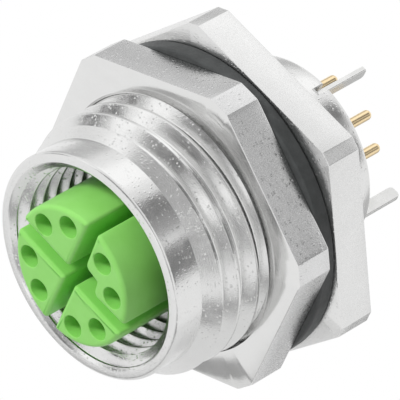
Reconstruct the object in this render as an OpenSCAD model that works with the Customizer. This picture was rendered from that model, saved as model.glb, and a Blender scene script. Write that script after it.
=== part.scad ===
// Panel-mount circular connector: an eight-way, X-coded M12 socket with solder pins at the rear.
// The connector's axis lies along Y. The mating face looks towards -Y and the solder pins point
// towards +Y. The origin is on the axis, in the front face of the hexagonal flange.
// Stations along the axis are measured from that face, so what is in front of it is negative.

/* [Housing] */
// Outside diameter of the panel thread
panel_thread_d = 15.2; // [14.6:0.1:15.4]
// Distance from the flange's front face to the front rim
barrel_l = 9.5; // [9:0.1:11]
// Diameter of the plain nose in front of the thread
nose_d = 13.5; // [13.2:0.1:14]
// Length of the plain nose
nose_l = 0.8; // [0.5:0.1:1.2]
// Length of the cone between the nose and the thread
nose_cone_l = 1.5; // [1:0.1:2]
// Core diameter of the coupling thread inside the barrel
coupling_d = 10.9; // [10.6:0.1:11.1]
// Diameter of the bevelled mouth of the coupling thread
mouth_d = 12.3; // [12:0.1:12.6]
// Depth of the coupling thread behind the rim
coupling_l = 8; // [7:0.5:8.2]
// Width of the hexagonal flange across its flats
flange_af = 19; // [18.8:0.1:20]
// Thickness of the flange
flange_t = 2.35; // [2:0.05:3]
// Width of the flat on each corner of the flange
flange_corner_w = 0.75; // [0.4:0.05:1.2]
// Outside diameter of the round collar behind the flange
collar_d = 11.8; // [11.6:0.1:12.4]
// Length of the collar behind the flange
collar_l = 4.4; // [4.2:0.1:5]
// Diameter of the bore that holds the contact carrier
carrier_bore_d = 10; // [9.9:0.1:10.1]

/* [Lock nut] */
// Width of the nut across its flats
nut_af = 18; // [17.5:0.1:18.5]
// Thickness of the nut
nut_t = 2.4; // [2:0.1:3]
// Width of the flat on each corner of the nut
nut_corner_w = 1.3; // [0.8:0.1:1.6]
// Radial clearance between the nut and the panel thread
nut_gap = 0.05; // [0.02:0.01:0.1]

/* [Panel seal] */
// Outside diameter of the flat seal
seal_d = 18.8; // [17:0.1:18.9]
// Thickness of the flat seal
seal_t = 1; // [0.8:0.05:1.2]

/* [Front insert] */
// Diameter of the four towers taken together
insert_d = 8.4; // [8.2:0.1:8.5]
// How far the towers stand out of the rim
insert_proud = 1.3; // [0.5:0.1:1.5]
// Depth of the crossed gap between the towers
cross_gap_l = 5.5; // [4:0.5:6]
// Width of the gap that runs from upper left to lower right
falling_gap_w = 0.84; // [0.6:0.02:1]
// Shift of that gap towards the upper right
falling_gap_shift = 0.34; // [0:0.02:0.4]
// Width of the gap that runs from lower left to upper right
rising_gap_w = 1; // [0.8:0.05:1.2]
// Rounding of the towers' upright edges
tower_round = 0.25; // [0.1:0.05:0.3]
// Diameter of the contact holes in the towers
socket_hole_d = 1.3; // [1.2:0.05:1.4]
// Angle of the contact pattern above the +X axis
insert_roll = 14; // [0:1:30]

/* [Contacts] */
// Distance between the two contacts of a pair
pair_pitch = 2; // [1.9:0.05:2.1]
// Distance from the axis to the middle of each pair
pair_offset = 3; // [2.9:0.05:3]
// Outside diameter of the slotted socket
socket_d = 1.15; // [1.1:0.05:1.2]
// Bore of the socket
socket_bore_d = 0.8; // [0.76:0.02:0.86]
// Depth of the sockets behind the towers' faces
socket_recess = 1.3; // [0.5:0.1:2]
// Diameter of the solder pins
pin_d = 0.6; // [0.5:0.05:0.7]
// Distance from the flange's front face to the tips of the solder pins
pin_reach = 10.25; // [9:0.25:12]

/* [Shield] */
// Thickness of the crossed shield plates
shield_t = 0.3; // [0.2:0.05:0.4]
// Width of the solder tags on the plates
tag_w = 0.78; // [0.6:0.02:1]
// Distance from the flange's front face to the tips of the tags
tag_reach = 10.05; // [9:0.05:12]

/* [Hidden] */
$fn = 96;

// How far a cutting shape runs past the surface that it cuts
over = 0.5;
// Play between pieces that are pushed together
play = 0.03;

// Barrel stations, from the flange's front face
rim_z = -barrel_l;
nose_z = rim_z + nose_l;
thread_z = nose_z + nose_cone_l;
relief_z = -1.1;
relief_r = 7;
rim_round = 0.35;
// The lip between the coupling thread and the carrier's bore, which stops the insert
lip_z = rim_z + coupling_l;
lip_l = 1;
seat_z = lip_z + lip_l;
lip_r = insert_d / 2 + 0.1;
collar_z = flange_t + collar_l;
collar_bevel = 0.3;
// The slots in the collar's edge that hold the shield plates
slot_l = 0.75;
slot_w = shield_t + 0.2;
slot_z = collar_z - slot_l;

// Seal and nut stations
seal_r_in = relief_r + 0.1;
seal_back_z = -0.02;
seal_z = seal_back_z - seal_t;
nut_back_z = seal_z - 0.01;
nut_z = nut_back_z - nut_t;
nut_bore_r = panel_thread_d / 2 + nut_gap;
nut_mouth_r = nut_bore_r + 0.2;
nut_bevel_r = 9.6;

// Insert stations
tower_z = rim_z - insert_proud;
cross_floor_z = tower_z + cross_gap_l;
shoulder_r = carrier_bore_d / 2 - play;
insert_back_z = 2;
tower_bevel = 0.15;
centre_hole_r = 0.8;
// The socket pair on the right has a blunt inner end with a notch in it
notch_x = 1.75;
notch_depth = 0.62;
notch_half_w = 0.7;
notch_y = -0.12;
// The groove for the insert's own seal
groove_z = 0.05;
groove_l = 1;
groove_r = 4.1;
ring_section_r = (shoulder_r - groove_r) / 2;
ring_centre_r = groove_r + ring_section_r;

// Contact stations
socket_z = tower_z + socket_recess;
socket_bore_l = 4.6;
socket_slit_l = 3.4;
socket_slit_w = 0.16;
head_r = 0.75;
head_l = 0.9;
head_z = insert_back_z - head_l;
shank_r = 0.5;
holder_z = insert_back_z + play;
holder_back_z = slot_z - play;

// Shield plate outline, as half widths and stations
plate_half_w = 3.5;
plate_z = cross_floor_z + 0.2;
yoke_z = slot_z + 0.02;
yoke_l = 0.65;
tag_r_out = 5.55;
halving_z = (plate_z + yoke_z + yoke_l) / 2;

// Contact places in the insert's own frame: x to the right and y downwards, seen from the front
PLACES = [
    [-pair_pitch / 2, -pair_offset], [pair_pitch / 2, -pair_offset],
    [pair_offset, -pair_pitch / 2], [pair_offset, pair_pitch / 2],
    [pair_pitch / 2, pair_offset], [-pair_pitch / 2, pair_offset],
    [-pair_offset, pair_pitch / 2], [-pair_offset, -pair_pitch / 2]
];

// Turns what was drawn along Z, with x to the right and y downwards, onto the connector's axis.
module on_axis() {
    rotate([-90, 0, 0]) children();
}

// The same, turned to the contact pattern's angle.
module on_pattern() {
    on_axis() rotate([0, 0, -insert_roll]) children();
}

// A disc from station z0 to station z1.
module disc(r, z0, z1) {
    translate([0, 0, z0]) cylinder(r = r, h = z1 - z0);
}

// A cone frustum from station z0 to station z1.
module frustum(r0, r1, z0, z1) {
    translate([0, 0, z0]) cylinder(r1 = r0, r2 = r1, h = z1 - z0);
}

// A hexagon with a corner on the x axis, and with a flat of width corner_w on each corner.
module blunt_hexagon(af, corner_w) {
    corner_r = af / 2 / cos(30);
    flat_r = corner_r - corner_w / 2 / tan(60);
    intersection() {
        circle(r = corner_r, $fn = 6);
        rotate(30) circle(r = flat_r / cos(30), $fn = 6);
    }
}

// Half section of the threaded barrel, as radius and station.
module barrel_section() {
    nose_r = nose_d / 2;
    core_r = coupling_d / 2;
    mouth_r = mouth_d / 2;
    thread_r = panel_thread_d / 2;
    polygon([
        [mouth_r, rim_z], [nose_r - rim_round, rim_z], [nose_r, rim_z + rim_round],
        [nose_r, nose_z], [thread_r, thread_z], [thread_r, lip_z], [core_r, lip_z],
        [core_r, rim_z + mouth_r - core_r]
    ]);
    translate([nose_r - rim_round, rim_z + rim_round]) circle(r = rim_round);
}

// Half section of the housing behind the barrel, without the hexagon: thread end, relief, lip,
// carrier bore and collar.
module collar_section() {
    bore_r = carrier_bore_d / 2;
    collar_r = collar_d / 2;
    thread_r = panel_thread_d / 2;
    polygon([
        [lip_r, lip_z], [thread_r, lip_z], [thread_r, relief_z], [relief_r, relief_z],
        [relief_r, flange_t / 2], [collar_r, flange_t / 2],
        [collar_r, collar_z - collar_bevel], [collar_r - collar_bevel, collar_z],
        [bore_r, collar_z], [bore_r, seat_z], [lip_r, seat_z]
    ]);
}

// The housing is one turned piece. It is built as two solids that meet at the front of the lip.
module housing_barrel() {
    color([0.80, 0.81, 0.82]) on_axis() rotate_extrude() barrel_section();
}

module housing_flange() {
    color([0.80, 0.81, 0.82]) difference() {
        on_axis() union() {
            rotate_extrude() collar_section();
            difference() {
                rotate([0, 0, 30]) linear_extrude(flange_t)
                    blunt_hexagon(flange_af, flange_corner_w);
                disc(carrier_bore_d / 2 + 0.4, -over, flange_t + over);
            }
        }
        on_pattern() for (a = [45, 135]) rotate([0, 0, a])
            translate([-collar_d, -slot_w / 2, slot_z]) cube([2 * collar_d, slot_w, slot_l + over]);
    }
}

module lock_nut() {
    corner_r = nut_af / 2 / cos(30);
    bevel_l = (corner_r - nut_bevel_r) * tan(30);
    mouth_l = nut_mouth_r - nut_bore_r;
    color([0.78, 0.79, 0.80]) on_axis() difference() {
        intersection() {
            translate([0, 0, nut_z]) linear_extrude(nut_t) blunt_hexagon(nut_af, nut_corner_w);
            rotate_extrude() polygon([
                [0, nut_z], [nut_bevel_r, nut_z], [corner_r, nut_z + bevel_l],
                [corner_r, nut_back_z - bevel_l], [nut_bevel_r, nut_back_z], [0, nut_back_z]
            ]);
        }
        disc(nut_bore_r, nut_z - over, nut_back_z + over);
        frustum(nut_mouth_r, nut_bore_r, nut_z, nut_z + mouth_l);
        frustum(nut_bore_r, nut_mouth_r, nut_back_z - mouth_l, nut_back_z);
    }
}

module panel_seal() {
    edge = 0.15;
    color([0.24, 0.25, 0.25]) on_axis() rotate_extrude() polygon([
        [seal_r_in, seal_z], [seal_d / 2 - edge, seal_z], [seal_d / 2, seal_z + edge],
        [seal_d / 2, seal_back_z - edge], [seal_d / 2 - edge, seal_back_z],
        [seal_r_in, seal_back_z]
    ]);
}

// Outline of the four towers seen from the front, x to the right and y downwards.
module tower_outline() {
    reach = insert_d;
    offset(r = tower_round, $fn = 24) offset(delta = -tower_round) difference() {
        circle(r = insert_d / 2);
        rotate(45) translate([-reach, -falling_gap_shift - falling_gap_w / 2])
            square([2 * reach, falling_gap_w]);
        rotate(-45) translate([-reach, -rising_gap_w / 2]) square([2 * reach, rising_gap_w]);
        circle(r = centre_hole_r);
        polygon([
            [0, notch_y - notch_half_w], [notch_x, notch_y - notch_half_w],
            [notch_x + notch_depth, notch_y], [notch_x, notch_y + notch_half_w],
            [0, notch_y + notch_half_w]
        ]);
    }
}

module insert() {
    color([0.42, 0.78, 0.33]) on_pattern() difference() {
        union() {
            translate([0, 0, tower_z + tower_bevel])
                linear_extrude(cross_gap_l - tower_bevel + play) tower_outline();
            translate([0, 0, tower_z])
                linear_extrude(tower_bevel + play) offset(delta = -tower_bevel) tower_outline();
            disc(insert_d / 2, cross_floor_z, seat_z + play);
            disc(shoulder_r, seat_z, insert_back_z);
        }
        // groove for the ring that seals the insert in the housing
        difference() {
            disc(shoulder_r + over, groove_z, groove_z + groove_l);
            disc(groove_r, groove_z - over, groove_z + groove_l + over);
        }
        for (p = PLACES) translate([p.x, p.y, 0]) {
            disc(socket_hole_d / 2, tower_z - over, insert_back_z + over);
            disc(head_r + play, head_z, insert_back_z + over);
        }
        // crossed slots that the shield plates slide into from behind
        for (a = [45, 135]) rotate([0, 0, a])
            translate([-plate_half_w - play, -shield_t / 2 - play, plate_z - play])
                cube([2 * (plate_half_w + play), shield_t + 2 * play, insert_back_z - plate_z + 1]);
    }
}

module insert_seal() {
    color([0.20, 0.20, 0.21]) on_axis()
        translate([0, 0, groove_z + groove_l / 2]) rotate_extrude()
            translate([ring_centre_r, 0]) circle(r = ring_section_r);
}

module rear_holder() {
    color([0.38, 0.72, 0.30]) on_pattern() difference() {
        disc(shoulder_r, holder_z, holder_back_z);
        for (p = PLACES) translate([p.x, p.y, 0])
            disc(shank_r + play, holder_z - over, holder_back_z + over);
        for (a = [45, 135]) rotate([0, 0, a])
            translate([-plate_half_w - play, -shield_t / 2 - play, holder_z - over])
                cube([2 * (plate_half_w + play), shield_t + 2 * play, holder_back_z - holder_z + 1]);
    }
}

// One shield plate: a blade across the insert, a yoke in the collar's slots and two solder tags.
// It is halved from the front or from behind, so that two plates cross on the axis.
module shield_plate(angle, from_front) {
    blade = [
        [-plate_half_w, plate_z], [plate_half_w, plate_z], [plate_half_w, yoke_z],
        [tag_r_out, yoke_z], [tag_r_out, tag_reach - 0.2], [tag_r_out - 0.2, tag_reach],
        [tag_r_out - tag_w, tag_reach], [tag_r_out - tag_w, yoke_z + yoke_l],
        [-tag_r_out + tag_w, yoke_z + yoke_l], [-tag_r_out + tag_w, tag_reach],
        [-tag_r_out + 0.2, tag_reach], [-tag_r_out, tag_reach - 0.2], [-tag_r_out, yoke_z],
        [-plate_half_w, yoke_z]
    ];
    halving_w = shield_t + 2 * play;
    cut_z = from_front ? plate_z - over : halving_z - play;
    cut_end_z = from_front ? halving_z + play : yoke_z + yoke_l + over;
    rotate([0, 0, angle]) translate([0, shield_t / 2, 0]) rotate([90, 0, 0])
        linear_extrude(shield_t) difference() {
            polygon(blade);
            translate([-halving_w / 2, cut_z]) square([halving_w, cut_end_z - cut_z]);
        }
}

module shield_plate_a() {
    color([0.74, 0.75, 0.76]) on_pattern() shield_plate(45, true);
}

module shield_plate_b() {
    color([0.74, 0.75, 0.76]) on_pattern() shield_plate(135, false);
}

// One turned contact: a slotted socket, a head that sits in the insert, a shank and a solder pin.
module contact(index) {
    pin_r = pin_d / 2;
    socket_r = socket_d / 2;
    place = PLACES[index - 1];
    color([0.83, 0.68, 0.38]) on_pattern() translate([place.x, place.y, 0]) difference() {
        union() {
            disc(socket_r, socket_z, head_z);
            disc(head_r, head_z, insert_back_z);
            disc(shank_r, insert_back_z, holder_back_z);
            disc(pin_r, holder_back_z, pin_reach - pin_r);
            translate([0, 0, pin_reach - pin_r]) sphere(r = pin_r);
        }
        disc(socket_bore_d / 2, socket_z - over, socket_z + socket_bore_l);
        for (a = [0, 90]) rotate([0, 0, a])
            translate([-socket_r - over, -socket_slit_w / 2, socket_z - over])
                cube([2 * (socket_r + over), socket_slit_w, socket_slit_l + over]);
    }
}

housing_barrel();
housing_flange();
lock_nut();
panel_seal();
insert();
insert_seal();
rear_holder();
shield_plate_a();
shield_plate_b();
contact(1);  // contact_1
contact(2);  // contact_2
contact(3);  // contact_3
contact(4);  // contact_4
contact(5);  // contact_5
contact(6);  // contact_6
contact(7);  // contact_7
contact(8);  // contact_8
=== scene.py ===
"""The look of the panel-mount connector, in metres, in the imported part's frame.

The connector's axis is Y, and the mating face looks towards -Y. Lengths in this script are
written in millimetres, and an angle round the axis runs from +X towards +Z.
"""

from math import asin, atan2, ceil, cos, floor, hypot, pi, radians, sin, sqrt, tan

import bmesh
import bpy
from mathutils import Matrix, Vector
from mathutils.geometry import tessellate_polygon


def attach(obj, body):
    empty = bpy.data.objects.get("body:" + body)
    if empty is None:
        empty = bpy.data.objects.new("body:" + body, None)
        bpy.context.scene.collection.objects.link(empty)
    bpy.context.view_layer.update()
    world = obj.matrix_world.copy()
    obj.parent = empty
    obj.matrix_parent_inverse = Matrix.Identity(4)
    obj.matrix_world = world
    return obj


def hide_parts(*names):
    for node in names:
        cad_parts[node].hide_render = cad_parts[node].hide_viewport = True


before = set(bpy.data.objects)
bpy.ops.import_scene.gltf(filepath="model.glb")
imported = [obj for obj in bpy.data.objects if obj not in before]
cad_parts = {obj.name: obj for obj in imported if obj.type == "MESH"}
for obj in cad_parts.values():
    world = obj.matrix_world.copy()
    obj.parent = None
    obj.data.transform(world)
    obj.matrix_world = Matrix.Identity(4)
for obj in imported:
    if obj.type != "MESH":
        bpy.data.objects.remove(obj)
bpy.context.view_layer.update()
MM = 0.001
TURN = 2 * pi

# Barrel, from the rim of the mating face to the flange
RIM_Y = -9.5
RIM_ROUND = 0.25
NOSE_R = 6.75
NOSE_BACK_Y = -7.55
CHAMFER_BACK_Y = -6.7
RELIEF_R = 6.9
BARREL_END_Y = 0.4

# Panel thread. One crest of each thread crosses the +X side at its crest_y
PANEL_CREST_R = 7.6
PANEL_DEPTH = 0.67
PANEL_PITCH = 1.41
PANEL_FLAT = 0.17
PANEL_CREST_ROUND = 0.04
PANEL_ROOT_ROUND = 0.1
PANEL_CREST_Y = -5.54

# Coupling thread inside the barrel
MOUTH_R = 6.15
COUPLING_START_Y = RIM_Y + 0.06
COUPLING_CREST_R = 5.45
COUPLING_DEPTH = 0.55
COUPLING_PITCH = 1.0
COUPLING_FLAT = 0.12
COUPLING_CREST_ROUND = 0.06
COUPLING_ROOT_ROUND = 0.05
COUPLING_CREST_Y = RIM_Y

# Lip that the insert seats on, and the bore behind it
LIP_Y = -1.5
LIP_R = 4.3
SEAT_Y = -0.5
BORE_R = 5.0
BORE_EDGE = 0.12

# Flange and collar
FLANGE_AF = 19.0
FLANGE_CORNER_W = 0.75
FLANGE_FILLET = 0.08
FLANGE_T = 2.35
COLLAR_R = 5.9
COLLAR_BACK_Y = 6.75
COLLAR_BEVEL = 0.25
SLOT_Y = 6.0
SLOT_HALF_W = 0.25

# Nut
NUT_AF = 18.0
NUT_CORNER_W = 1.3
NUT_FILLET = 0.06
NUT_FRONT_Y = -3.43
NUT_BACK_Y = -1.03
NUT_MOUTH_R = 7.75
NUT_BEVEL_R = 9.95
THREAD_PLAY = 0.05

# Seal between nut and flange
SEAL_R = 9.4
SEAL_BORE_R = 7.0
SEAL_FRONT_Y = -1.02
SEAL_BACK_Y = -0.02
SEAL_ROUND = 0.16

# Insert. Its pattern is drawn with x to the right and y upwards, and turned by ROLL
ROLL = radians(14)
TOWER_Y = -10.8
CROSS_FLOOR_Y = -5.3
TOWER_SINK = 0.3
TOWER_R = 4.2
SHOULDER_R = 4.97
SHOULDER_BEVEL = 0.1
SHOULDER_Y = SEAT_Y + 0.02
INSERT_BACK_Y = 2.0
# The sides of each tower towards the two crossed gaps, as distances along the diagonals
TOWER_SIDES = {(-1, -1): (-0.38, -0.45), (-1, 1): (-0.31, 0.44),
               (1, -1): (0.36, -0.46), (1, 1): (0.4, 0.3)}
TOWER_CORNER = 0.45
TOWER_TIP = 0.2
TOWER_EDGE = 0.26
# The tower at the right has a blunt inner end with a notch in it
BLUNT_X = 1.42
BLUNT_LOW_Y = -0.9
BLUNT_HIGH_Y = 0.72
NOTCH_X = 2.04
NOTCH_Y = -0.14
NOTCH_ROUND = 0.1
SOCKET_HOLE_EDGE = 0.05
SOCKET_HOLE_R = 0.65
PAIR_HALF = 1.0
PAIR_OFFSET = 3.0
PLACES = [
    (-PAIR_HALF, PAIR_OFFSET), (PAIR_HALF, PAIR_OFFSET),
    (PAIR_OFFSET, PAIR_HALF), (PAIR_OFFSET, -PAIR_HALF),
    (PAIR_HALF, -PAIR_OFFSET), (-PAIR_HALF, -PAIR_OFFSET),
    (-PAIR_OFFSET, -PAIR_HALF), (-PAIR_OFFSET, PAIR_HALF),
]

# Contacts, from the socket's mouth to the solder pin's tip
SOCKET_Y = -9.5
SOCKET_R = 0.575
SOCKET_BORE_R = 0.4
SOCKET_BORE_END_Y = -4.9
HEAD_R = 0.75
HEAD_Y = 1.1
SHANK_R = 0.5
SHANK_BACK_Y = 5.97
PIN_R = 0.3
PIN_TIP_Y = 10.25
# Small edges as (width, length): the socket's countersink, its rim and the shank's back
SOCKET_SINK = (0.05, 0.15)
SOCKET_EDGE = (0.045, 0.05)
SHANK_EDGE = (0.04, 0.07)

# Shield plates: a blade, a yoke in the collar's slots and two solder tags
BLADE_HALF_W = 3.5
BLADE_Y = -5.1
BLADE_T = 0.3
YOKE_Y = 6.02
YOKE_BACK_Y = 6.67
TAG_OUT_R = 5.55
TAG_W = 0.78
TAG_TIP_Y = 10.05
SLIT_HALF_W = 0.18
SHEET_EDGE = 0.04

# How finely forms are divided
ROUND_STEPS = 192
FLANK_STEPS = 6
FILLET_STEPS = 4
WELD = 0.0004

# Small rounded edge of nut and flange
PLATE_EDGE = 0.07


# Materials

def material(name, color, roughness, metallic=0.0):
    """A material with nodes, and its shader."""
    mat = bpy.data.materials.new(name)
    mat.use_nodes = True
    mat.diffuse_color = (*color, 1)
    shader = mat.node_tree.nodes["Principled BSDF"]
    shader.inputs["Base Color"].default_value = (*color, 1)
    shader.inputs["Roughness"].default_value = roughness
    shader.inputs["Metallic"].default_value = metallic
    return mat, shader


def add(owner, kind, **values):
    """A node of a material or world. Values are inputs by name or properties of the node."""
    node = owner.node_tree.nodes.new(kind)
    for key, value in values.items():
        if key in node.inputs:
            node.inputs[key].default_value = value
        else:
            setattr(node, key, value)
    return node


def join(owner, out, socket):
    owner.node_tree.links.new(out, socket)


def combine(owner, operation, *values):
    """A math node on the outputs of other nodes."""
    node = add(owner, "ShaderNodeMath", operation=operation)
    for socket, value in zip(node.inputs, values):
        join(owner, value, socket)
    return node.outputs[0]


def spread(owner, value, low, high, start=0.0, end=1.0):
    """Maps value from start..end to low..high."""
    node = add(owner, "ShaderNodeMapRange", **{
        "From Min": start, "From Max": end, "To Min": low, "To Max": high})
    join(owner, value, node.inputs["Value"])
    return node.outputs["Result"]


def place_mm(mat):
    """Object coordinates in millimetres."""
    coordinates = add(mat, "ShaderNodeTexCoord")
    scaled = add(mat, "ShaderNodeVectorMath", operation="SCALE", Scale=1 / MM)
    join(mat, coordinates.outputs["Object"], scaled.inputs[0])
    return scaled.outputs[0]


def noise(mat, vector, per_mm, detail, roughness=0.5):
    node = add(mat, "ShaderNodeTexNoise", Scale=per_mm, Detail=detail, Roughness=roughness)
    join(mat, vector, node.inputs["Vector"])
    return node.outputs["Fac"]


def specks(mat, vector, per_mm, share):
    """Sparse grains on a surface: 0 between them and 1 on their tops."""
    cells = add(mat, "ShaderNodeTexVoronoi", Scale=per_mm)
    join(mat, vector, cells.inputs["Vector"])
    parts = add(mat, "ShaderNodeSeparateColor")
    join(mat, cells.outputs["Color"], parts.inputs[0])
    chosen = spread(mat, parts.outputs[0], 0, 1, 1 - share, 1 - share * 0.8)
    dome = spread(mat, cells.outputs["Distance"], 1, 0, start=0.1, end=0.45)
    return combine(mat, "MULTIPLY", chosen, dome)


def tint(mat, shader, value, dark, light):
    """Base colour between two colours by value."""
    mix = add(mat, "ShaderNodeMix", data_type="RGBA")
    join(mat, value, mix.inputs["Factor"])
    mix.inputs["A"].default_value = (*dark, 1)
    mix.inputs["B"].default_value = (*light, 1)
    join(mat, mix.outputs["Result"], shader.inputs["Base Color"])


def vary_roughness(mat, shader, value, low, high):
    """Roughness between two levels by value."""
    join(mat, spread(mat, value, low, high, start=0.3, end=0.7), shader.inputs["Roughness"])


def bump(mat, shader, height, depth_mm, under=None):
    """Relief of a height map, on top of an earlier one."""
    node = add(mat, "ShaderNodeBump", Strength=1.0, Distance=depth_mm * MM)
    join(mat, height, node.inputs["Height"])
    if under is not None:
        join(mat, under, node.inputs["Normal"])
    join(mat, node.outputs["Normal"], shader.inputs["Normal"])
    return node.outputs["Normal"]


def shade(color, factor):
    return [c * factor for c in color]


def turned_metal(name, color, roughness, groove_mm, grain_mm, share=0.0):
    """Plated metal as a lathe leaves it, with fine rings round the axis and along it. A share
    of its cells carries a speck."""
    mat, shader = material(name, color, roughness, metallic=1.0)
    place = place_mm(mat)
    split = add(mat, "ShaderNodeSeparateXYZ")
    join(mat, place, split.inputs[0])
    squares = [combine(mat, "MULTIPLY", split.outputs[k], split.outputs[k]) for k in "XZ"]
    radius = combine(mat, "SQRT", combine(mat, "ADD", *squares))
    rings = add(mat, "ShaderNodeCombineXYZ")
    join(mat, radius, rings.inputs["X"])
    join(mat, split.outputs["Y"], rings.inputs["Y"])
    lines = noise(mat, rings.outputs[0], per_mm=9.0, detail=4.0, roughness=0.7)
    grain = noise(mat, place, per_mm=14.0, detail=2.0)
    first = bump(mat, shader, lines, groove_mm)
    second = bump(mat, shader, grain, grain_mm, under=first)
    if share:
        grit = specks(mat, place, per_mm=7.0, share=share)
        bump(mat, shader, grit, depth_mm=0.01, under=second)
    patches = noise(mat, place, per_mm=1.3, detail=3.0)
    vary_roughness(mat, shader, patches, roughness * 0.75, roughness * 1.3)
    tint(mat, shader, patches, shade(color, 0.93), color)
    return mat


def grained_metal(name, color, roughness, grain_mm, specks_per_mm, share):
    """Plated metal with the fine, sparkling grain of a drawn and barrelled bar."""
    mat, shader = material(name, color, roughness, metallic=1.0)
    place = place_mm(mat)
    grain = noise(mat, place, per_mm=9.0, detail=5.0, roughness=0.75)
    first = bump(mat, shader, specks(mat, place, specks_per_mm, share), grain_mm * 2)
    bump(mat, shader, grain, grain_mm, under=first)
    patches = noise(mat, place, per_mm=1.1, detail=3.0)
    vary_roughness(mat, shader, grain, roughness * 0.7, roughness * 1.35)
    tint(mat, shader, patches, shade(color, 0.94), color)
    return mat


def moulding(name, color, pale, roughness):
    """Glass-filled plastic: slightly milky, with a fine satin grain and faint flow marks."""
    mat, shader = material(name, color, roughness)
    shader.inputs["IOR"].default_value = 1.6
    shader.inputs["Subsurface Weight"].default_value = 0.06
    shader.inputs["Subsurface Radius"].default_value = (0.6, 1.0, 0.4)
    shader.inputs["Subsurface Scale"].default_value = 0.3 * MM
    place = place_mm(mat)
    flow = noise(mat, place, per_mm=0.9, detail=3.0)
    grain = noise(mat, place, per_mm=13.0, detail=3.0, roughness=0.6)
    tint(mat, shader, spread(mat, flow, 0, 1, start=0.3, end=0.7), color, pale)
    vary_roughness(mat, shader, grain, roughness * 0.85, roughness * 1.15)
    bump(mat, shader, grain, depth_mm=0.008)
    return mat


def rubber(name, color, roughness):
    """Satin rubber with a fine pitted skin, and pale patches that are partly dust and partly
    painted sheen.
    """
    mat, shader = material(name, color, roughness)
    place = place_mm(mat)
    pits = noise(mat, place, per_mm=8.0, detail=4.0, roughness=0.65)
    # pale patches, partly dust and partly painted sheen: lighter rubber that stands in for light
    # the seal's face mirrors
    dust_and_sheen = noise(mat, place, per_mm=1.6, detail=3.0)
    tint(mat, shader, spread(mat, dust_and_sheen, 0, 1, start=0.35, end=0.75), color, shade(color, 1.5))
    bump(mat, shader, pits, depth_mm=0.02)
    vary_roughness(mat, shader, pits, roughness * 0.85, roughness * 1.15)
    return mat


NICKEL = (0.78, 0.78, 0.775)
HOUSING_METAL = turned_metal("housing_nickel", NICKEL, 0.2, groove_mm=0.003, grain_mm=0.004,
                             share=0.25)
FLANGE_METAL = grained_metal("flange_nickel", NICKEL, 0.28, grain_mm=0.0004,
                             specks_per_mm=5.0, share=0.1)
NUT_FACE_METAL = turned_metal("nut_face_nickel", NICKEL, 0.12, groove_mm=0.001, grain_mm=0.001)
NUT_FLAT_METAL = grained_metal("nut_flat_nickel", (0.72, 0.72, 0.72), 0.28, grain_mm=0.007,
                               specks_per_mm=4.5, share=0.35)
GREEN = moulding("green_moulding", (0.28, 0.72, 0.14), (0.31, 0.76, 0.165), 0.4)
REAR_GREEN = moulding("rear_green_moulding", (0.26, 0.69, 0.13), (0.29, 0.73, 0.15), 0.45)
SEAL_RUBBER = rubber("seal_rubber", (0.045, 0.048, 0.048), 0.5)
RING_RUBBER = rubber("ring_rubber", (0.03, 0.03, 0.032), 0.45)
TINNED = turned_metal("tinned_sheet", (0.80, 0.80, 0.79), 0.3, groove_mm=0.002, grain_mm=0.004)
GOLD = turned_metal("gold_plate", (0.93, 0.74, 0.46), 0.22, groove_mm=0.002, grain_mm=0.002)


# Meshes

def finish_piece(name, bm, materials, body, nodes, sharp=32):
    """Makes one piece of a bmesh drawn in millimetres, on a body and in place of CAD nodes.
    Edges that turn by more than sharp degrees stay crisp."""
    bmesh.ops.remove_doubles(bm, verts=bm.verts, dist=WELD)
    bmesh.ops.dissolve_degenerate(bm, edges=bm.edges, dist=WELD)
    bmesh.ops.recalc_face_normals(bm, faces=bm.faces)
    bmesh.ops.scale(bm, vec=(MM, MM, MM), verts=bm.verts)
    mesh = bpy.data.meshes.new(name)
    bm.to_mesh(mesh)
    bm.free()
    for one in materials:
        mesh.materials.append(one)
    mesh.shade_smooth()
    mesh.set_sharp_from_angle(angle=radians(sharp))
    piece = bpy.data.objects.new(name, mesh)
    bpy.context.scene.collection.objects.link(piece)
    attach(piece, body)
    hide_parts(*nodes)


def on_axis(radius, angle, y):
    return (radius * cos(angle), y, radius * sin(angle))


def skin(bm, columns, material_of=lambda k: 0):
    """Faces between neighbouring columns of points. Each column is a closed section, and the
    last one lies on the first."""
    rows = [[bm.verts.new(p) for p in column] for column in columns]
    count = len(rows[0])
    for left, right in zip(rows, rows[1:]):
        for k in range(count):
            n = (k + 1) % count
            face = bm.faces.new([left[k], left[n], right[n], right[k]])
            face.material_index = material_of(k)


def lathe(bm, section, steps=ROUND_STEPS):
    """A closed section of (radius, y) turned once round the axis."""
    turns = [TURN * j / steps for j in range(steps + 1)]
    skin(bm, [[on_axis(r, a, y) for r, y in section] for a in turns])


def arc(centre_r, centre_y, radius, first, last, steps=6):
    """Points of an arc in a section, with angles in degrees from +radius towards +y."""
    return [(centre_r + radius * cos(radians(first + (last - first) * i / steps)),
             centre_y + radius * sin(radians(first + (last - first) * i / steps)))
            for i in range(steps + 1)]


def circle(x, y, radius, steps=36):
    return [(x + radius * cos(TURN * k / steps), y + radius * sin(TURN * k / steps))
            for k in range(steps)]


def rounded(points, steps=5):
    """A polygon whose corners become arcs. Points are (x, y, radius of the corner)."""
    most = 0.48  # the share of a side that one corner may take
    out = []
    for i, (x, y, radius) in enumerate(points):
        if not radius:
            out.append((x, y))
            continue
        here = Vector((x, y))
        to_last = Vector(points[i - 1][:2]) - here
        to_next = Vector(points[(i + 1) % len(points)][:2]) - here
        a, b = to_last.normalized(), to_next.normalized()
        half = a.angle(b) / 2
        reach = min(radius / tan(half), to_last.length * most, to_next.length * most)
        size = reach * tan(half)
        centre = here + (a + b).normalized() * (size / sin(half))
        start = here + a * reach - centre
        end = here + b * reach - centre
        first = atan2(start.y, start.x)
        swing = (atan2(end.y, end.x) - first + pi) % TURN - pi
        for k in range(steps + 1):
            angle = first + swing * k / steps
            out.append((centre.x + size * cos(angle), centre.y + size * sin(angle)))
    return out


# Threads

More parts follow.
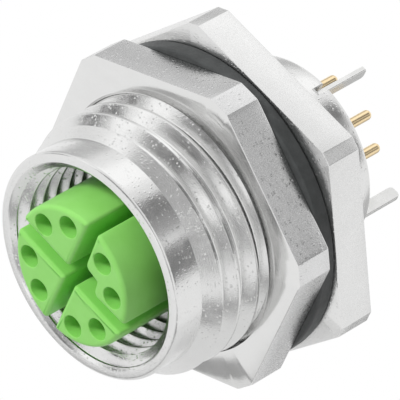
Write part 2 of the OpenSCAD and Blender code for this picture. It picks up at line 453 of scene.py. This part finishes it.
def thread_profile(pitch, depth, flat, crest_round, root_round):
    """Half a pitch of thread, as distances from the crest's middle and depths below the crest."""
    corners = [(-flat / 2, 0, 0), (flat / 2, 0, crest_round),
               (pitch / 2 - flat / 2, depth, root_round), (pitch / 2 + flat / 2, depth, 0)]
    bends = rounded(corners, steps=3)[1:-1]
    middle = len(bends) // 2
    (o0, d0), (o1, d1) = bends[middle - 1], bends[middle]
    flank = [(o0 + (o1 - o0) * i / FLANK_STEPS, d0 + (d1 - d0) * i / FLANK_STEPS)
             for i in range(1, FLANK_STEPS)]
    return [(0, 0)] + bends[:middle] + flank + bends[middle:] + [(pitch / 2, depth)]


PANEL_PROFILE = thread_profile(PANEL_PITCH, PANEL_DEPTH, PANEL_FLAT, PANEL_CREST_ROUND,
                               PANEL_ROOT_ROUND)
COUPLING_PROFILE = thread_profile(COUPLING_PITCH, COUPLING_DEPTH, COUPLING_FLAT,
                                  COUPLING_CREST_ROUND, COUPLING_ROOT_ROUND)


def depth_at(profile, pitch, offset):
    """Depth of a thread at a distance along the axis from the middle of a crest."""
    offset %= pitch
    offset = min(offset, pitch - offset)
    for (o0, d0), (o1, d1) in zip(profile, profile[1:]):
        if offset <= o1:
            return d0 + (d1 - d0) * (offset - o0) / (o1 - o0)
    return profile[-1][1]


def thread_column(profile, pitch, crest_y, angle, start, end):
    """Stations and depths of a right-hand thread on one side of it, held between two stations."""
    base = crest_y - pitch * angle / TURN
    period = profile + [(pitch - o, d) for o, d in reversed(profile[1:-1])]
    first = floor((start - crest_y) / pitch)
    column = []
    for k in range(first, first + ceil((end - start) / pitch) + 3):
        for offset, depth in period:
            y = base + k * pitch + offset
            held = min(max(y, start), end)
            if held != y:
                depth = depth_at(profile, pitch, held - base)
            column.append((held, depth))
    return column


def panel_thread(angle, crest_r, start, end):
    """Section of the panel thread as (radius, y)."""
    column = thread_column(PANEL_PROFILE, PANEL_PITCH, PANEL_CREST_Y, angle, start, end)
    return [(crest_r - depth, y) for y, depth in column]


def coupling_thread(angle):
    """Section of the coupling thread as (radius, y)."""
    groove_r = COUPLING_CREST_R + COUPLING_DEPTH
    column = thread_column(COUPLING_PROFILE, COUPLING_PITCH, COUPLING_CREST_Y, angle,
                           COUPLING_START_Y, LIP_Y)
    return [(groove_r - depth, y) for y, depth in column]


def trimmed(points, limit, keep):
    """A thread's section of (radius, y), cut off where a cone crosses it. The point nearest to
    each crossing moves onto it, so the edge between thread and cone stays crisp."""
    past = [r - limit(y) for r, y in points]
    out = [(keep(r, limit(y)), y) for r, y in points]
    for i in range(len(points) - 1):
        if past[i] * past[i + 1] < 0:
            part = past[i] / (past[i] - past[i + 1])
            y = points[i][1] + part * (points[i + 1][1] - points[i][1])
            out[i if part < 0.5 else i + 1] = (limit(y), y)
    return out


# Hexagonal plates

def hexagon(af, corner_w, first_corner, fillet):
    """Outline of a hexagon with a flat on each corner, as points with small fillets."""
    half = af / 2
    corner_r = half / cos(radians(30))
    flat_r = corner_r - corner_w / 2 / tan(radians(60))
    normals = []
    for k in range(6):
        normals.append((first_corner + k * TURN / 6, flat_r))
        normals.append((first_corner + (k + 0.5) * TURN / 6, half))
    outline = []
    for (a0, d0), (a1, d1) in zip(normals, normals[1:] + normals[:1]):
        turn = (a1 - a0) % TURN
        # the fillet's centre lies one fillet radius inside both sides
        e0, e1 = d0 - fillet, d1 - fillet
        along = (e1 - e0 * cos(turn)) / sin(turn)
        cx = e0 * cos(a0) - along * sin(a0)
        cz = e0 * sin(a0) + along * cos(a0)
        for i in range(FILLET_STEPS + 1):
            a = a0 + turn * i / FILLET_STEPS
            outline.append((cx + fillet * cos(a), cz + fillet * sin(a)))
    return outline


def divided(outline, longest):
    """The outline with its long sides divided, so that a bevel over them stays smooth."""
    points = []
    for (x0, z0), (x1, z1) in zip(outline, outline[1:] + outline[:1]):
        parts = max(1, ceil(hypot(x1 - x0, z1 - z0) / longest))
        points += [(x0 + (x1 - x0) * i / parts, z0 + (z1 - z0) * i / parts) for i in range(parts)]
    return points


def hex_plate(bm, outline, front, back, inner_points, bevel_r=None):
    """A hexagonal plate round the axis, whose sides have the second material. Its faces end in
    a small rounded edge, or under a 30 degree bevel cone where the outline passes bevel_r."""
    edge = PLATE_EDGE
    columns = []
    start = atan2(outline[0][1], outline[0][0])
    for i, (x, z) in enumerate(outline + outline[:1]):
        turned = TURN if i == len(outline) else (atan2(z, x) - start) % TURN
        angle, reach = start + turned, hypot(x, z)
        face_r, drop = reach - edge, 0.0
        if bevel_r:
            face_r = min(face_r, bevel_r)
            drop = max(0.0, reach - bevel_r) * tan(radians(30))
        # the bend between face and side lies further in under a bevel cone
        bend_r = reach - edge * (0.3 if drop < edge else 0.45)
        rim = [(face_r, 0.0), (bend_r, max(drop - edge * 0.2, edge * 0.3)),
               (reach, max(drop + edge * 0.6, edge))]
        section = inner_points(angle)
        section = section + [(r, front + y) for r, y in rim]
        section = section + [(r, back - y) for r, y in reversed(rim)]
        columns.append([on_axis(r, angle, y) for r, y in section])
    side = len(columns[0]) - 4
    skin(bm, columns, lambda k: 1 if side - 1 <= k <= side else 0)


# Housing

SLOT_ANGLES = [ROLL - radians(a) for a in (45, 135, 225, 315)]
SLOT_HALF = asin(SLOT_HALF_W / COLLAR_R)
# The two columns at a slot's side lie this far apart, as an angle
SLOT_HAIR = 0.001


def housing_angles():
    """Angles of the housing's columns: even steps, and two at each side of the slots."""
    found = [TURN * j / ROUND_STEPS for j in range(ROUND_STEPS + 1)]
    for centre in SLOT_ANGLES:
        for side in (-SLOT_HALF - SLOT_HAIR, -SLOT_HALF, SLOT_HALF, SLOT_HALF + SLOT_HAIR):
            found.append((centre + side) % TURN)
    return sorted(found)


def in_slot(angle):
    reach = SLOT_HALF + SLOT_HAIR / 10
    return any(abs((angle - c + pi) % TURN - pi) <= reach for c in SLOT_ANGLES)


def chamfer_r(y):
    """The chamfer between the nose and the thread's crest."""
    rise = (PANEL_CREST_R - NOSE_R) / (CHAMFER_BACK_Y - NOSE_BACK_Y)
    return NOSE_R + (y - NOSE_BACK_Y) * rise


def mouth_r(y):
    """The countersunk mouth of the coupling thread."""
    return MOUTH_R - (y - RIM_Y)


def housing_column(angle):
    """The housing's section at one angle, from the rim over the outside and back inside."""
    back = SLOT_Y if in_slot(angle) else COLLAR_BACK_Y
    near = 0.1  # rings this close to an edge keep the shading beside it flat
    points = arc(NOSE_R - RIM_ROUND, RIM_Y + RIM_ROUND, RIM_ROUND, -90, 0)
    points.append((NOSE_R, NOSE_BACK_Y))
    points += trimmed(panel_thread(angle, PANEL_CREST_R, NOSE_BACK_Y, LIP_Y), chamfer_r, min)
    points += [(RELIEF_R, LIP_Y + 0.05), (RELIEF_R, BARREL_END_Y), (COLLAR_R, BARREL_END_Y)]
    points += [(COLLAR_R, FLANGE_T + near), (COLLAR_R, SLOT_Y - near)]
    points += [(COLLAR_R, back - COLLAR_BEVEL),
               (COLLAR_R - COLLAR_BEVEL * 0.3, back - COLLAR_BEVEL * 0.3),
               (COLLAR_R - COLLAR_BEVEL, back)]
    points += [(BORE_R + BORE_EDGE, back), (BORE_R, back - BORE_EDGE), (BORE_R, SEAT_Y)]
    points += [(LIP_R, SEAT_Y), (LIP_R, LIP_Y), (COUPLING_CREST_R, LIP_Y)]
    points += reversed(trimmed(coupling_thread(angle), mouth_r, max))
    points.append((MOUTH_R + 0.02, RIM_Y))
    return points


def flange_inside(angle):
    """The flange's inner edge, hidden inside the collar."""
    inner_r = COLLAR_R - 0.3
    return [(inner_r, FLANGE_T), (inner_r, 0.0)]


housing_mesh = bmesh.new()
skin(housing_mesh, [[on_axis(r, a, y) for r, y in housing_column(a)] for a in housing_angles()])
flange_outline = divided(hexagon(FLANGE_AF, FLANGE_CORNER_W, radians(30), FLANGE_FILLET), 0.9)
hex_plate(housing_mesh, flange_outline, 0.0, FLANGE_T, flange_inside)
finish_piece("housing", housing_mesh, [HOUSING_METAL, FLANGE_METAL], "shell",
             ["housing_barrel", "housing_flange"])


# Lock nut

def nut_mouth_r(y):
    """The countersinks of the nut's bore, at both faces."""
    return NUT_MOUTH_R - min(y - NUT_FRONT_Y, NUT_BACK_Y - y)


def nut_bore(angle):
    """The nut's threaded bore from its back face to its front face."""
    thread = panel_thread(angle, PANEL_CREST_R + THREAD_PLAY, NUT_FRONT_Y, NUT_BACK_Y)
    return trimmed(thread, nut_mouth_r, max)[::-1]


nut_mesh = bmesh.new()
nut_outline = divided(hexagon(NUT_AF, NUT_CORNER_W, 0.0, NUT_FILLET), 0.3)
hex_plate(nut_mesh, nut_outline, NUT_FRONT_Y, NUT_BACK_Y, nut_bore, NUT_BEVEL_R)
finish_piece("lock_nut", nut_mesh, [NUT_FACE_METAL, NUT_FLAT_METAL], "nut", ["lock_nut"])


# Panel seal

seal_mesh = bmesh.new()
lathe(seal_mesh,
      [(SEAL_BORE_R, SEAL_BACK_Y), (SEAL_BORE_R, SEAL_FRONT_Y)]
      + arc(SEAL_R - SEAL_ROUND, SEAL_FRONT_Y + SEAL_ROUND, SEAL_ROUND, -90, 0)
      + arc(SEAL_R - SEAL_ROUND, SEAL_BACK_Y - SEAL_ROUND, SEAL_ROUND, 0, 90))
finish_piece("panel_seal", seal_mesh, [SEAL_RUBBER], "seal", ["panel_seal"],
             sharp=50)


# Insert

# Turns a drawing with x to the right, y upwards and z to the front into the part's frame
TO_PATTERN = Matrix(((cos(ROLL), -sin(ROLL), 0, 0), (0, 0, -1, 0), (sin(ROLL), cos(ROLL), 0, 0),
                     (0, 0, 0, 1)))


def to_diagonals(x, y):
    """Distances of a point along the diagonals to the lower right and lower left."""
    return ((x - y) / sqrt(2), (-x - y) / sqrt(2))


def from_diagonals(u, v):
    """A point from its distances along the diagonals."""
    return ((u - v) / sqrt(2), -(u + v) / sqrt(2))


def rim_arc(start, end, steps=14):
    """Points of the towers' outer circle between two points on it, without those two."""
    a0, a1 = atan2(start[1], start[0]), atan2(end[1], end[0])
    swing = (a1 - a0 + pi) % TURN - pi
    return [(TOWER_R * cos(a0 + swing * k / steps), TOWER_R * sin(a0 + swing * k / steps), 0)
            for k in range(1, steps)]


def tower(u_side, v_side):
    """Outline of one tower, between the gaps and the outer circle."""
    u, v = TOWER_SIDES[u_side, v_side]
    on_u = from_diagonals(u, sqrt(TOWER_R ** 2 - u ** 2) * v_side)
    on_v = from_diagonals(sqrt(TOWER_R ** 2 - v ** 2) * u_side, v)
    points = [(*on_u, TOWER_CORNER)] + rim_arc(on_u, on_v) + [(*on_v, TOWER_CORNER)]
    if u_side > 0 and v_side < 0:
        points += [(BLUNT_X, BLUNT_LOW_Y, TOWER_CORNER), (NOTCH_X, NOTCH_Y, NOTCH_ROUND),
                   (BLUNT_X, BLUNT_HIGH_Y, TOWER_CORNER)]
    else:
        points.append((*from_diagonals(u, v), TOWER_TIP))
    return rounded(points)


def inset(outline, amount):
    """An anticlockwise outline moved inwards."""
    moved = []
    for i, (x, y) in enumerate(outline):
        (px, py), (nx, ny) = outline[i - 1], outline[(i + 1) % len(outline)]
        along = Vector((nx - px, ny - py)).normalized()
        moved.append((x - along.y * amount, y + along.x * amount))
    return moved


def rounded_edge(outline_at, front, back, edge, steps=5):
    """Loops of points with stations: a narrow flat, a rounded edge and a straight wall.
    outline_at gives the outline moved into the block by a length."""
    flat = 0.03
    loops = [(outline_at(edge + flat), front)]
    for i in range(steps + 1):
        bend = pi / 2 * i / steps
        loops.append((outline_at(edge * (1 - sin(bend))), front + edge * (1 - cos(bend))))
    return loops + [(outline_at(0), back)]


def block(bm, outline, holes, front, back):
    """A block with a soft front edge and round holes, drawn as it is seen from the front."""
    following = outline[1:] + outline[:1]
    area = sum(x0 * y1 - x1 * y0 for (x0, y0), (x1, y1) in zip(outline, following))
    if area < 0:
        outline = outline[::-1]
    walls = [rounded_edge(lambda by: inset(outline, by), front, back, TOWER_EDGE)]
    for x, y in holes:
        walls.append(rounded_edge(lambda by, x=x, y=y: circle(x, y, SOCKET_HOLE_R + by),
                                  front, back, SOCKET_HOLE_EDGE))
    made = []
    for wall in walls:
        rings = [[bm.verts.new(TO_PATTERN @ Vector((px, py, -y))) for px, py in loop]
                 for loop, y in wall]
        for ring, below in zip(rings, rings[1:]):
            for i in range(len(ring)):
                n = (i + 1) % len(ring)
                bm.faces.new((ring[i], ring[n], below[n], below[i]))
        made.append(rings)
    for end in (0, -1):
        verts = [v for rings in made for v in rings[end]]
        for corners in tessellate_polygon([[v.co for v in rings[end]] for rings in made]):
            bm.faces.new([verts[i] for i in corners])


insert_mesh = bmesh.new()
for u_side, v_side in TOWER_SIDES:
    holes = []
    for x, y in PLACES:
        u, v = to_diagonals(x, y)
        if u * u_side > 0 and v * v_side > 0:
            holes.append((x, y))
    block(insert_mesh, tower(u_side, v_side), holes, TOWER_Y, CROSS_FLOOR_Y + TOWER_SINK)
centre_r = 0.05  # a hair of a bore, so that the section is a ring
lathe(insert_mesh, [
    (centre_r, CROSS_FLOOR_Y), (TOWER_R, CROSS_FLOOR_Y), (TOWER_R, SHOULDER_Y),
    (SHOULDER_R - SHOULDER_BEVEL, SHOULDER_Y), (SHOULDER_R, SHOULDER_Y + SHOULDER_BEVEL),
    (SHOULDER_R, INSERT_BACK_Y), (centre_r, INSERT_BACK_Y)], steps=96)
finish_piece("insert", insert_mesh, [GREEN], "shell", ["insert"], sharp=38)


# Contacts

def contact_section():
    """A socket's bore and mouth, its head, its shank and the solder pin with a round tip."""
    sink_w, sink = SOCKET_SINK
    rim_w, rim = SOCKET_EDGE
    back_w, back = SHANK_EDGE
    section = [(SOCKET_BORE_R, SOCKET_BORE_END_Y), (SOCKET_BORE_R, SOCKET_Y + sink),
               (SOCKET_BORE_R + sink_w, SOCKET_Y), (SOCKET_R - rim_w, SOCKET_Y),
               (SOCKET_R, SOCKET_Y + rim), (SOCKET_R, HEAD_Y),
               (HEAD_R, HEAD_Y), (HEAD_R, INSERT_BACK_Y), (SHANK_R, INSERT_BACK_Y),
               (SHANK_R, SHANK_BACK_Y - back), (SHANK_R - back_w, SHANK_BACK_Y),
               (PIN_R, SHANK_BACK_Y)]
    section += arc(0.0, PIN_TIP_Y - PIN_R, PIN_R, 0, 86, steps=8)
    return section + [(0.01, SOCKET_BORE_END_Y)]


for index, (x, y) in enumerate(PLACES, 1):
    contact_mesh = bmesh.new()
    lathe(contact_mesh, contact_section(), steps=40)
    shift = TO_PATTERN @ Vector((x, y, 0))
    bmesh.ops.translate(contact_mesh, vec=shift, verts=contact_mesh.verts)
    finish_piece(f"contact_pin_{index}", contact_mesh, [GOLD], "shell", [f"contact_{index}"],
                 sharp=40)


# Shield plates

def tag_outline():
    """One side of a plate, from the blade's front corner round the tag to the yoke's back. The
    tag's tip has two soft corners of three points."""
    corner, middle = 0.22, 0.07
    inner_r = TAG_OUT_R - TAG_W
    return [(BLADE_HALF_W, BLADE_Y), (BLADE_HALF_W, YOKE_Y), (TAG_OUT_R, YOKE_Y),
            (TAG_OUT_R, TAG_TIP_Y - corner), (TAG_OUT_R - middle, TAG_TIP_Y - middle),
            (TAG_OUT_R - corner, TAG_TIP_Y), (inner_r + corner, TAG_TIP_Y),
            (inner_r + middle, TAG_TIP_Y - middle), (inner_r, TAG_TIP_Y - corner),
            (inner_r, YOKE_BACK_Y)]


def shield_plate(name, node, angle, from_front):
    """A sheet blade with two solder tags, turned about the axis by the angle. A slit from its
    front or its back takes the other plate."""
    one_side = tag_outline()
    other = [(-x, y) for x, y in reversed(one_side)]
    middle = (BLADE_Y + YOKE_BACK_Y) / 2
    slit = SLIT_HALF_W
    if from_front:
        outline = ([(slit, middle), (slit, BLADE_Y)] + one_side + other
                   + [(-slit, BLADE_Y), (-slit, middle)])
    else:
        outline = one_side + [(slit, YOKE_BACK_Y), (slit, middle), (-slit, middle),
                              (-slit, YOKE_BACK_Y)] + other
    plate = bmesh.new()
    plate.faces.new([plate.verts.new((x, y, -BLADE_T / 2)) for x, y in outline])
    raised = bmesh.ops.extrude_face_region(plate, geom=plate.faces[:])
    top = [v for v in raised["geom"] if isinstance(v, bmesh.types.BMVert)]
    bmesh.ops.translate(plate, vec=(0, 0, BLADE_T), verts=top)
    bmesh.ops.recalc_face_normals(plate, faces=plate.faces)
    edges = [e for e in plate.edges if e.calc_face_angle(0) > radians(20)]
    bmesh.ops.bevel(plate, geom=edges, offset=SHEET_EDGE, segments=2, affect="EDGES",
                    clamp_overlap=True)
    bmesh.ops.rotate(plate, cent=(0, 0, 0), matrix=Matrix.Rotation(-angle, 3, "Y"),
                     verts=plate.verts)
    finish_piece(name, plate, [TINNED], "shell", [node], sharp=30)


shield_plate("shield_sheet_a", "shield_plate_a", ROLL - radians(45), True)
shield_plate("shield_sheet_b", "shield_plate_b", ROLL - radians(135), False)


# CAD nodes that stay as they are

for node, mat in (("rear_holder", REAR_GREEN), ("insert_seal", RING_RUBBER)):
    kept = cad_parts[node]
    if not kept.material_slots:
        kept.data.materials.append(mat)
    for one in kept.material_slots:
        one.material = mat


# Floor, backdrop and light

FLOOR_Z, FLOOR_R = -45.0, 38.0
# The world is white where it is seen or mirrored, and gives this much light otherwise
WORLD_LIGHT = 0.46
# The cards that the metal mirrors: beside the part from FIRST_Y to LAST_Y, and in front of it
STRIP_R = 85
STRIP_FIRST_Y, STRIP_LAST_Y = -15, 130
STRIP_PARTS = 8
FRONT_CARD_Y = -150
# Name, middle and half width in degrees round the axis, level
STRIPS = [
    ("overhead_softbox", 94, 14, 1.25),
    ("right_dark_card", 3, 15, 0.25),
    ("right_window", 25, 4, 0.85),
    ("right_middle_card", 37, 8, 0.38),
    ("upper_right_card", 54, 10, 0.25),
    ("upper_left_card", 144, 16, 0.62),
    ("low_card", -98, 38, 0.58),
]
# Name, first and last x, lowest and highest z, level
FRONT_CARDS = [
    ("front_top_softbox", -175, -80, 100, 200, 1.25),
    ("front_left_dark_card", -420, -200, 80, 150, 0.12),
    ("front_dark_card", -70, 28, 60, 112, 0.2),
    ("front_high_card", -60, 150, 114, 170, 0.48),
    ("front_middle_card", 30, 150, 58, 112, 0.48),
    ("front_right_card", 90, 150, -70, 56, 0.48),
    ("front_spot", 36, 74, 2, 40, 1.3),
    ("front_low_dark_card", 66, 88, -45, 2, 0.28),
    ("front_floor_card", -300, 300, -900, -152, 0.42),
]


def stage_object(name, verts, faces, mat):
    """A thing beside the part, drawn in millimetres."""
    mesh = bpy.data.meshes.new(name)
    mesh.from_pydata([[c * MM for c in v] for v in verts], [], faces)
    mesh.materials.append(mat)
    thing = bpy.data.objects.new(name, mesh)
    bpy.context.scene.collection.objects.link(thing)
    return thing


def studio_world():
    """A white world that lights the part less than it shows itself."""
    world = bpy.data.worlds.new("studio")
    bpy.context.scene.world = world
    world.use_nodes = True
    world.node_tree.nodes.clear()
    rays = add(world, "ShaderNodeLightPath").outputs
    seen = combine(world, "MAXIMUM", rays["Is Camera Ray"], rays["Is Glossy Ray"])
    seen = combine(world, "MAXIMUM", seen, rays["Is Transmission Ray"])
    backdrop = add(world, "ShaderNodeBackground", Color=(1, 1, 1, 1))
    join(world, spread(world, seen, WORLD_LIGHT, 1.0), backdrop.inputs["Strength"])
    out = add(world, "ShaderNodeOutputWorld")
    join(world, backdrop.outputs[0], out.inputs["Surface"])


def key_light(direction, energy, angle):
    """A soft sun from a direction. The metal doesn't mirror it."""
    light = bpy.data.lights.new("key", "SUN")
    light.energy = energy
    light.angle = angle
    holder = bpy.data.objects.new("key", light)
    bpy.context.scene.collection.objects.link(holder)
    holder.rotation_euler = Vector(direction).to_track_quat("Z", "Y").to_euler()
    holder.visible_glossy = False


def card(name, verts, faces, level):
    """A card that glows at a level of its own. The camera doesn't see it, and it casts no
    shadow."""
    paint = bpy.data.materials.new(name)
    paint.use_nodes = True
    nodes = paint.node_tree.nodes
    nodes.remove(nodes["Principled BSDF"])
    glow = add(paint, "ShaderNodeEmission", Strength=level)
    join(paint, glow.outputs[0], nodes["Material Output"].inputs["Surface"])
    made = stage_object(name, verts, faces, paint)
    made.visible_camera = False
    made.visible_shadow = False


def strip(name, middle, half_width, level):
    """A long card beside the part, parallel to its axis."""
    verts = []
    for i in range(STRIP_PARTS + 1):
        a = radians(middle - half_width + 2 * half_width * i / STRIP_PARTS)
        verts += [on_axis(STRIP_R, a, STRIP_FIRST_Y), on_axis(STRIP_R, a, STRIP_LAST_Y)]
    faces = [(2 * i, 2 * i + 1, 2 * i + 3, 2 * i + 2) for i in range(STRIP_PARTS)]
    card(name, verts, faces, level)


def front_card(name, x0, x1, z0, z1, level):
    """A card in front of the part, square to its axis."""
    y = FRONT_CARD_Y
    card(name, [(x0, y, z0), (x1, y, z0), (x1, y, z1), (x0, y, z1)], [(0, 1, 2, 3)], level)


floor_paint, _ = material("floor_paint", (0.86, 0.86, 0.86), 0.7)
floor_points = circle(0, 0, FLOOR_R, steps=96)
stage_object("floor", [(x, y, FLOOR_Z) for x, y in floor_points],
             [list(range(len(floor_points)))], floor_paint)
studio_world()
key_light((-0.1, -0.6, 0.8), energy=1.95, angle=radians(14))
for row in STRIPS:
    strip(*row)
for row in FRONT_CARDS:
    front_card(*row)


# Camera, fitted to the photograph's contact holes, rim, corners and outline

AZIMUTH, ELEVATION, CAMERA_ROLL = radians(46.931), radians(28.425), radians(-5.385)
AIM = Vector((-0.3424, -0.4296, -0.0088)) * MM
DISTANCE = 288.15 * MM
LENS = 471.45
SENSOR = 36


def aim_camera():
    back = Vector((sin(AZIMUTH) * cos(ELEVATION), -cos(AZIMUTH) * cos(ELEVATION),
                   sin(ELEVATION)))
    level_right = Vector((cos(AZIMUTH), sin(AZIMUTH), 0))
    level_up = back.cross(level_right)
    right = cos(CAMERA_ROLL) * level_right + sin(CAMERA_ROLL) * level_up
    lens = bpy.data.cameras.new("camera")
    lens.sensor_width = SENSOR
    lens.lens = LENS
    camera = bpy.data.objects.new("camera", lens)
    bpy.context.scene.collection.objects.link(camera)
    turned = Matrix((right, back.cross(right), back)).transposed().to_4x4()
    turned.translation = AIM + back * DISTANCE
    camera.matrix_world = turned
    bpy.context.scene.camera = camera


aim_camera()
bpy.context.scene.view_settings.view_transform = "Standard"
